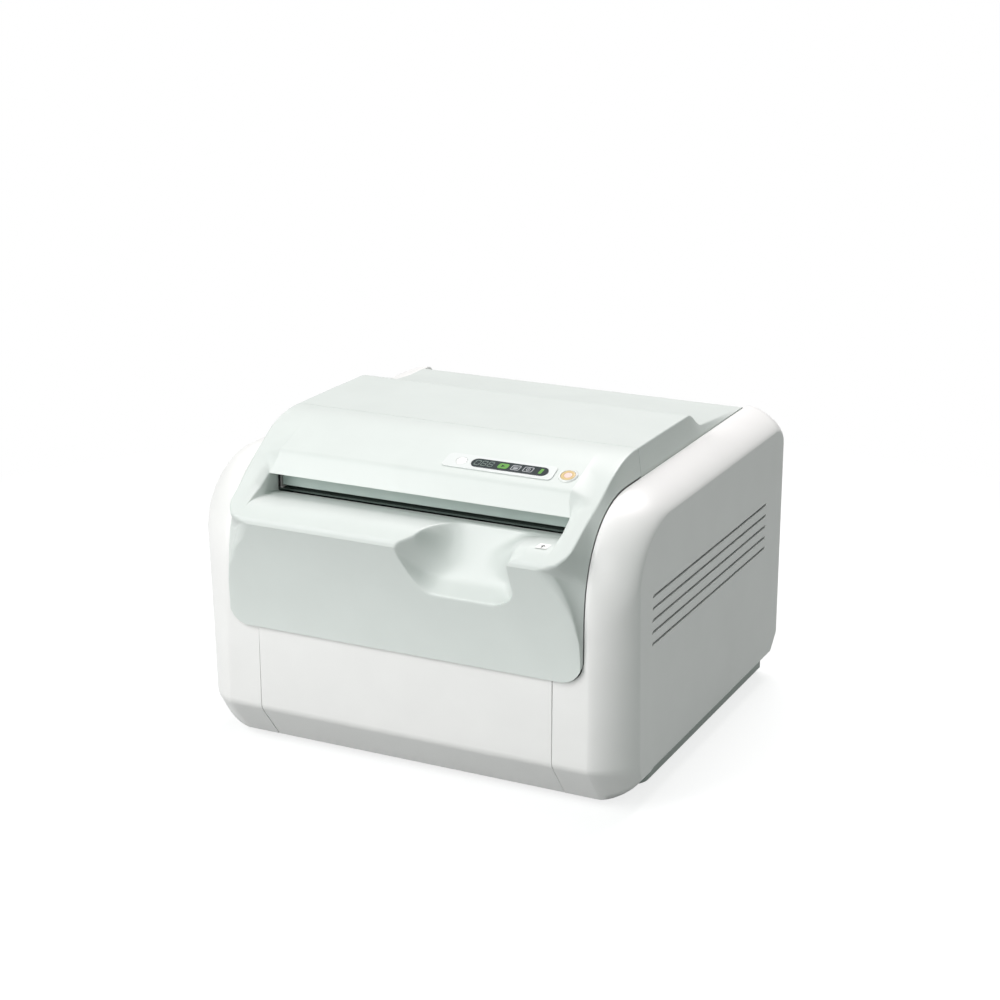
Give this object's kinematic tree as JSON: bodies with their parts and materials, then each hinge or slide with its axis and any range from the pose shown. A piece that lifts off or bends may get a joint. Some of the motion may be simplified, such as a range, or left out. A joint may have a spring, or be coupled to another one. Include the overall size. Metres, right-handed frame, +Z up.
{
  "type": "phosphor plate scanner",
  "caption": "Table-top reader for phosphor imaging plates: a wide cassette slot above a scooped apron, a lid and a front door, with the plate feed, lamps and laser optics inside.",
  "frame": {"origin": "on the table, under the middle of the case as seen from above", "axes": "+Z up, -Y out of the cassette slot towards the user, +X to the right as the user faces it, where the power button is"},
  "size_m": [0.56, 0.548, 0.392],
  "materials": {
    "pale_green_plastic": "satin moulded ABS, very pale grey-green",
    "white_plastic": "satin moulded ABS, white",
    "base_plastic": "matt moulded plastic, mid grey",
    "overlay_film": "printed polyester film",
    "display_film": "dark clear plastic with lit symbols behind",
    "power_key_plastic": "white key with an amber ring",
    "select_key_plastic": "satin white plastic",
    "foot_rubber": "matt black rubber",
    "cup_rubber": "soft black rubber",
    "roller_rubber": "ground grey rubber",
    "belt_rubber": "ribbed black rubber",
    "zinc_steel": "zinc-coated sheet",
    "bright_steel": "ground steel",
    "rear_paint": "fine-textured paint, pale grey",
    "black_plastic": "glass-filled nylon, black",
    "grey_plastic": "matt plastic, grey-green",
    "white_acetal": "natural acetal",
    "optics_paint": "matt black paint on cast aluminium",
    "mirror_coat": "front-coated mirror",
    "lens_glass": "clear optical plastic",
    "guide_acrylic": "polished clear acrylic",
    "cast_aluminium": "as machined",
    "motor_paint": "black paint",
    "board_laminate": "green soldered circuit board"
  },
  "bodies": {
    "chassis": {"front_fascia": "pale_green_plastic", "power_bezel": "pale_green_plastic", "side_cover_left": "white_plastic", "side_cover_right": "white_plastic", "base_plinth": "base_plastic", "control_overlay": "overlay_film", "display_window": "display_film", "control_board": "board_laminate", "foot_front_left": "foot_rubber", "foot_front_right": "foot_rubber", "foot_rear_left": "foot_rubber", "foot_rear_right": "foot_rubber", "door_pin_left": "bright_steel", "door_pin_right": "bright_steel", "door_catch_left": "black_plastic", "door_catch_right": "black_plastic", "rear_panel": "rear_paint", "frame_plate_left": "zinc_steel", "frame_plate_right": "zinc_steel", "front_beam": "zinc_steel", "rear_beam": "zinc_steel", "cassette_tray": "zinc_steel", "cassette_guide_left": "white_acetal", "cassette_guide_right": "white_acetal", "drive_belt": "belt_rubber", "feed_motor": "motor_paint", "turn_guide": "zinc_steel", "eraser_lamps": "zinc_steel", "optics_shelf": "zinc_steel", "optics_housing": "optics_paint", "mirror_motor": "cast_aluminium", "laser_module": "bright_steel", "scan_lens": "lens_glass", "fold_mirror": "mirror_coat", "light_guide": "guide_acrylic", "photomultiplier": "cast_aluminium", "power_supply": "zinc_steel", "main_board": "board_laminate", "fan_frame": "black_plastic", "mains_inlet": "black_plastic", "switch_frame": "black_plastic", "network_port": "bright_steel"},
    "lid": {"top_lid": "pale_green_plastic"},
    "door": {"front_door": "white_plastic"},
    "flap": {"slot_flap": "grey_plastic"},
    "pickup": {"pickup_arm": "cast_aluminium", "suction_cup_left": "cup_rubber", "suction_cup_right": "cup_rubber"},
    "feed_upper": {"feed_roller_upper": "roller_rubber", "upper_pulley": "cast_aluminium"},
    "feed_lower": {"feed_roller_lower": "roller_rubber", "lower_pulley": "cast_aluminium"},
    "pinch_upper": {"pinch_roller_upper": "roller_rubber"},
    "pinch_lower": {"pinch_roller_lower": "roller_rubber"},
    "motor_drive": {"motor_pulley": "cast_aluminium"},
    "mirror_spinner": {"polygon_mirror": "mirror_coat"},
    "fan": {"fan_rotor": "black_plastic"},
    "power_key": {"power_button": "power_key_plastic"},
    "select_key": {"select_button": "select_key_plastic"},
    "rocker": {"power_rocker": "black_plastic"}
  },
  "joints": [
    {"name": "lid_hinge", "type": "hinge", "parent": "chassis", "child": "lid", "pos_m": [0, 0.25, 0.345], "axis": [-1, 0, 0], "range_deg": [0, 55]},
    {"name": "door_hinge", "type": "hinge", "parent": "chassis", "child": "door", "pos_m": [0, -0.198, 0.014], "axis": [1, 0, 0], "range_deg": [0, 50]},
    {"name": "flap_hinge", "type": "hinge", "parent": "chassis", "child": "flap", "pos_m": [0, -0.184, 0.346], "axis": [1, 0, 0], "range_deg": [0, 75], "stiffness_Nm_per_rad": 0.02, "springref_deg": -5.73},
    {"name": "pickup_lift", "type": "hinge", "parent": "chassis", "child": "pickup", "pos_m": [0, 0.04, 0.283], "axis": [-1, 0, 0], "range_deg": [0, 10]},
    {"name": "feed_upper_spin", "type": "hinge", "parent": "chassis", "child": "feed_upper", "pos_m": [0, 0.2314, 0.288], "axis": [1, 0, 0], "continuous": true},
    {"name": "feed_lower_spin", "type": "hinge", "parent": "chassis", "child": "feed_lower", "pos_m": [0, 0.2314, 0.15], "axis": [1, 0, 0], "continuous": true},
    {"name": "pinch_upper_spin", "type": "hinge", "parent": "chassis", "child": "pinch_upper", "pos_m": [0, 0.2086, 0.288], "axis": [1, 0, 0], "continuous": true},
    {"name": "pinch_lower_spin", "type": "hinge", "parent": "chassis", "child": "pinch_lower", "pos_m": [0, 0.2086, 0.15], "axis": [1, 0, 0], "continuous": true},
    {"name": "motor_spin", "type": "hinge", "parent": "chassis", "child": "motor_drive", "pos_m": [0, 0.15, 0.15], "axis": [1, 0, 0], "continuous": true},
    {"name": "mirror_spin", "type": "hinge", "parent": "chassis", "child": "mirror_spinner", "pos_m": [0, -0.02, 0.2245], "axis": [0, 0, 1], "continuous": true},
    {"name": "fan_spin", "type": "hinge", "parent": "chassis", "child": "fan", "pos_m": [0.096, 0.2474, 0.092], "axis": [0, 1, 0], "continuous": true},
    {"name": "power_press", "type": "slide", "parent": "chassis", "child": "power_key", "axis": [0, 0.3633, -0.9317], "range_m": [0, 0.0012], "stiffness_N_per_m": 900, "springref_m": -0.0003},
    {"name": "select_press", "type": "slide", "parent": "chassis", "child": "select_key", "axis": [0, 0.3633, -0.9317], "range_m": [0, 0.0006], "stiffness_N_per_m": 1200, "springref_m": -0.0002},
    {"name": "rocker_tilt", "type": "hinge", "parent": "chassis", "child": "rocker", "pos_m": [-0.11, 0.2616, 0.062], "axis": [1, 0, 0], "range_deg": [0, 14]}
  ],
  "couplings": [
    {"joint": "feed_lower_spin", "follows": "feed_upper_spin", "ratio": 1},
    {"joint": "pinch_upper_spin", "follows": "feed_upper_spin", "ratio": -1},
    {"joint": "pinch_lower_spin", "follows": "feed_upper_spin", "ratio": -1},
    {"joint": "motor_spin", "follows": "feed_upper_spin", "ratio": 1.75}
  ]
}
